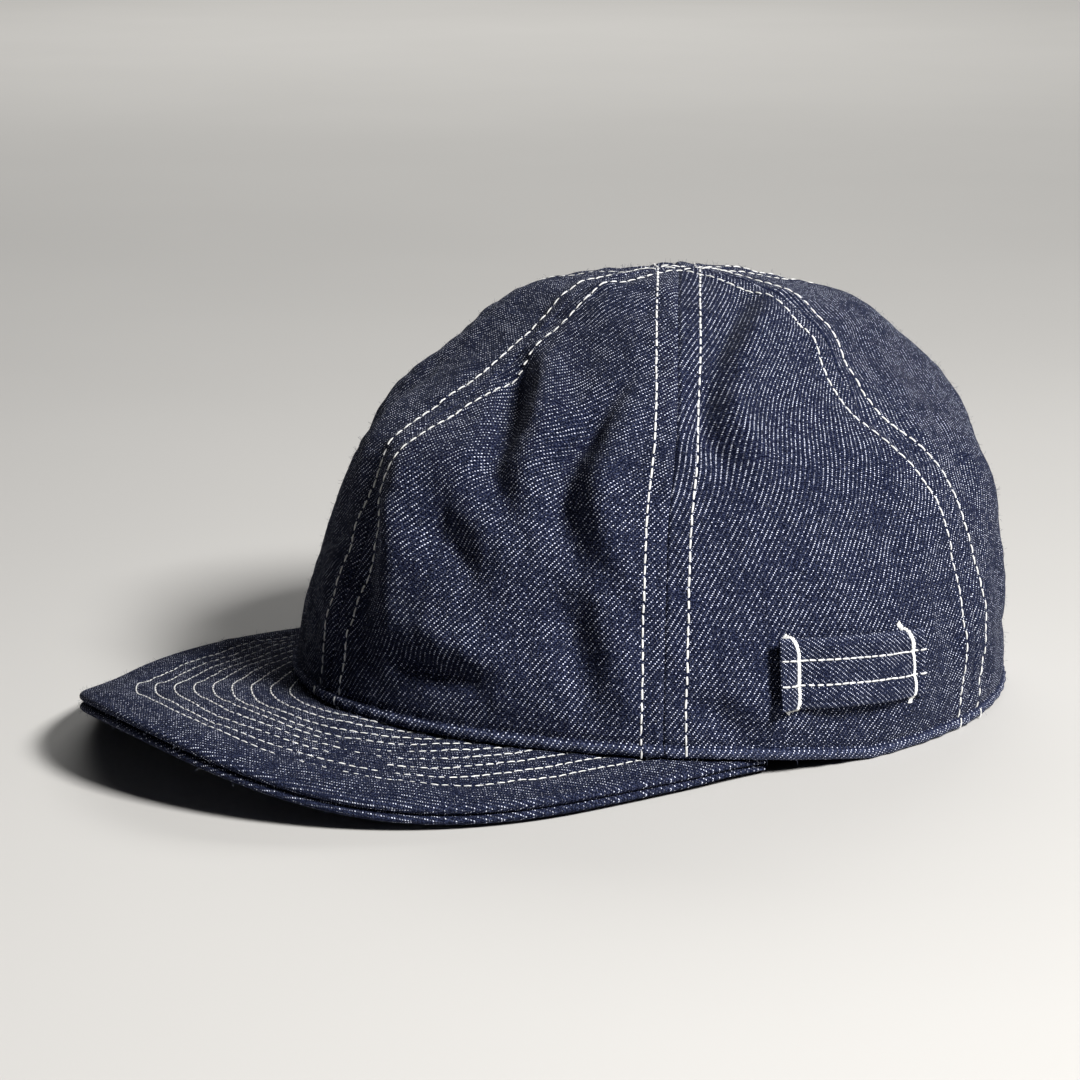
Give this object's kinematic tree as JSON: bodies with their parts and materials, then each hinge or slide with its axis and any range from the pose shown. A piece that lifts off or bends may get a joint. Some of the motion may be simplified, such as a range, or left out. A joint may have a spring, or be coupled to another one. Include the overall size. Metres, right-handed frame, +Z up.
{
  "type": "soft cloth army cap with stitched peak",
  "caption": "Soft cloth cap of seamed panels with a long stitched peak and a pencil loop on its left side, worn on the head.",
  "frame": {"origin": "the middle of the cap's box, on the surface it stands on", "axes": "+Z up, the peak points towards -Y, the wearer's left is +X"},
  "size_m": [0.1767, 0.2645, 0.1142],
  "materials": {
    "crown_denim": "dark indigo twill with white flecks",
    "peak_denim": "dark indigo twill, quilted by rows of white stitches",
    "loop_denim": "dark indigo twill with white bar tacks"
  },
  "bodies": {
    "root": {"front_panel_left": "crown_denim", "front_panel_right": "crown_denim", "side_panel_left": "crown_denim", "side_panel_right": "crown_denim", "back_panel_left": "crown_denim", "back_panel_right": "crown_denim", "peak_top": "peak_denim", "peak_under": "peak_denim", "pencil_loop": "loop_denim"}
  },
  "joints": []
}
